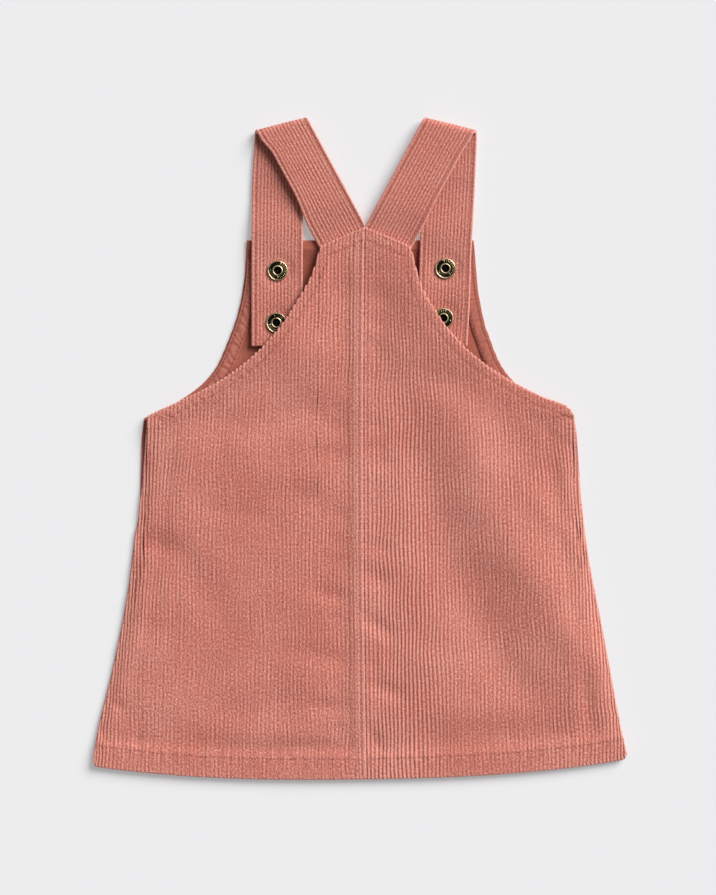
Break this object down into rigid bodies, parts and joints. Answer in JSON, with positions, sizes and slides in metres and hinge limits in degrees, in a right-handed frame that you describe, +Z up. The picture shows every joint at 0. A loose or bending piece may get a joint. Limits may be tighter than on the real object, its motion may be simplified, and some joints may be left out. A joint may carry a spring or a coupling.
{
  "type": "pinafore dress",
  "caption": "Toddler's corduroy pinafore dress lying flat, back up: flared skirt, bib, and wide straps with snap posts folded over the shoulders and down inside the bib.",
  "frame": {"origin": "middle of the dress's length and width, on the surface that it lies on", "axes": "+Y from the hem to the shoulder folds, +Z up from the surface towards the back of the dress, +X to the right as it is looked down on"},
  "size_m": [0.3292, 0.408, 0.0093],
  "materials": {
    "corduroy": "dusty rose cotton corduroy, 2.4 mm wales",
    "facing": "plain bias tape, a little more orange than the corduroy",
    "thread": "matching topstitching thread",
    "antique_brass": "antique brass, darkened in the hollows"
  },
  "bodies": {
    "root": {"back_left": "corduroy", "back_right": "corduroy", "front": "corduroy", "facing_left": "facing", "facing_right": "facing", "strap_left": "corduroy", "strap_right": "corduroy", "snap_post_left_upper": "antique_brass", "snap_post_left_lower": "antique_brass", "snap_post_right_upper": "antique_brass", "snap_post_right_lower": "antique_brass"}
  },
  "joints": []
}
